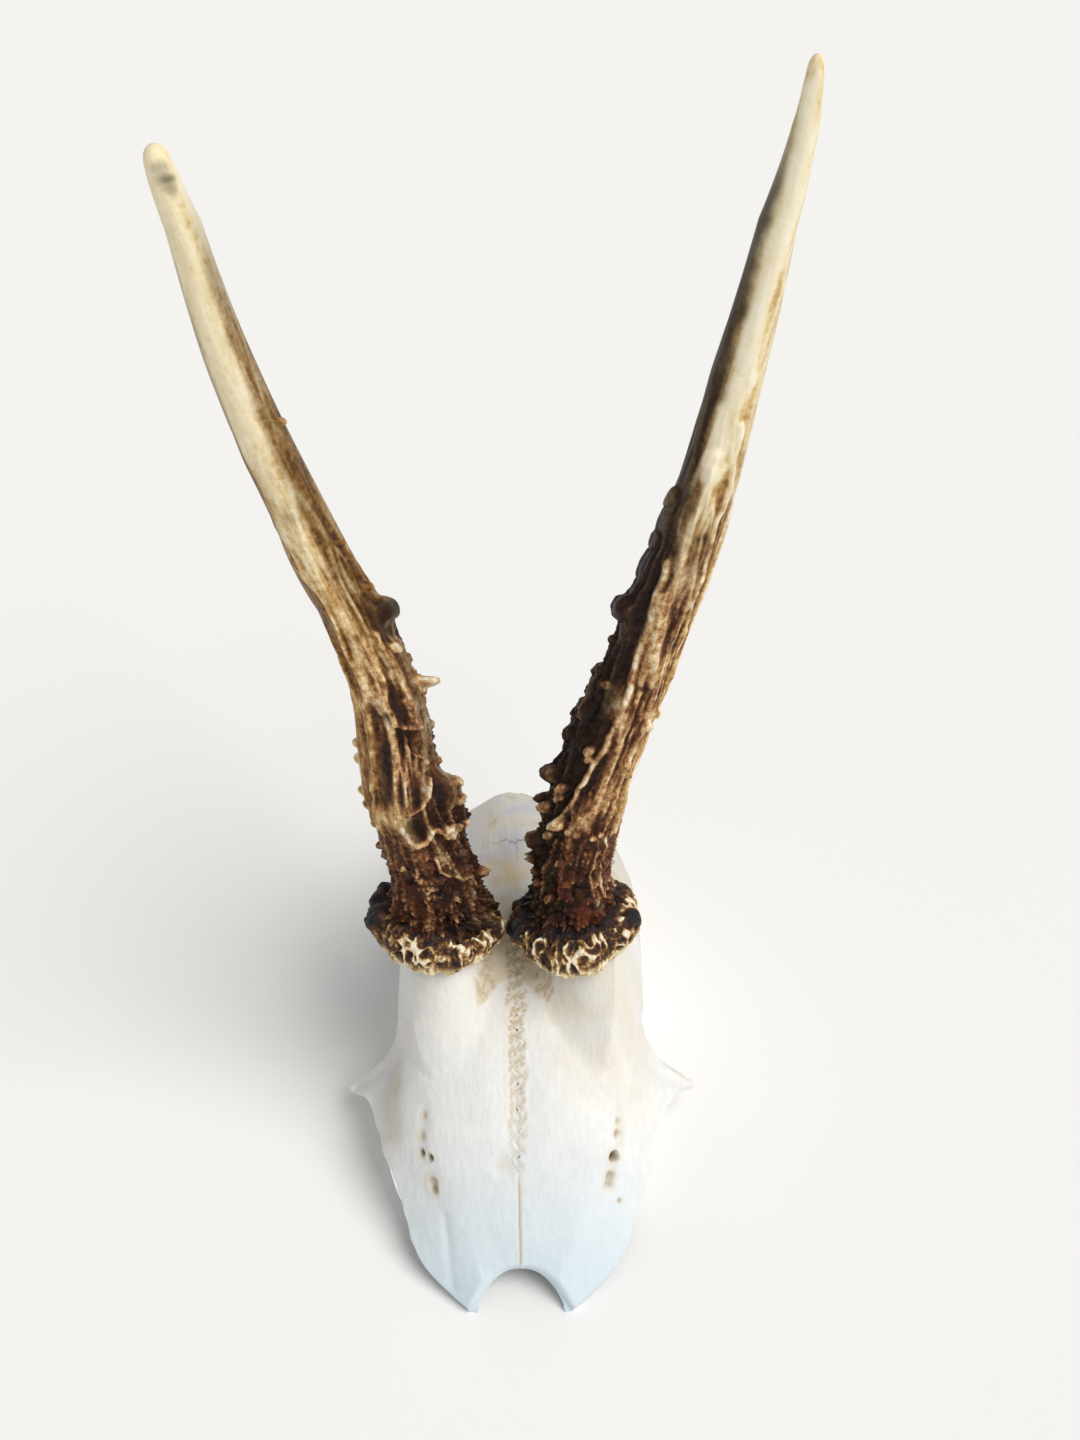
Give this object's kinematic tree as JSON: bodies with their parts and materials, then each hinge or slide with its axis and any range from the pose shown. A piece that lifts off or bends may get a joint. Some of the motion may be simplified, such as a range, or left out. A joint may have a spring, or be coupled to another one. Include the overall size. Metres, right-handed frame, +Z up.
{
  "type": "roe deer skull plate with spike antlers",
  "caption": "Roe deer skull plate, cut through the orbits and braincase, with pedicles, knobbly coronets and unbranched spike antlers, lying on its cut rim.",
  "frame": {"origin": "middle of the footprint of the whole object, on the surface that the cut rim rests on", "axes": "+Z up, the animal faces -Y, its left side is +X"},
  "size_m": [0.1194, 0.1374, 0.268],
  "materials": {
    "bone": "matt bleached bone, bluish at the nose end and ivory by the pedicles",
    "braincase_bone": "matt thin bone, grey-white with violet and tan clouds",
    "coronet": "rough dark brown antler burr with worn ivory knobs",
    "antler": "ridged antler, dark brown below, polished ivory towards the tip"
  },
  "bodies": {
    "root": {"frontal_left": "bone", "frontal_right": "bone", "parietal": "braincase_bone", "occipital": "braincase_bone", "temporal_left": "braincase_bone", "temporal_right": "braincase_bone", "burr_left": "coronet", "burr_right": "coronet", "antler_left": "antler", "antler_right": "antler"}
  },
  "joints": []
}
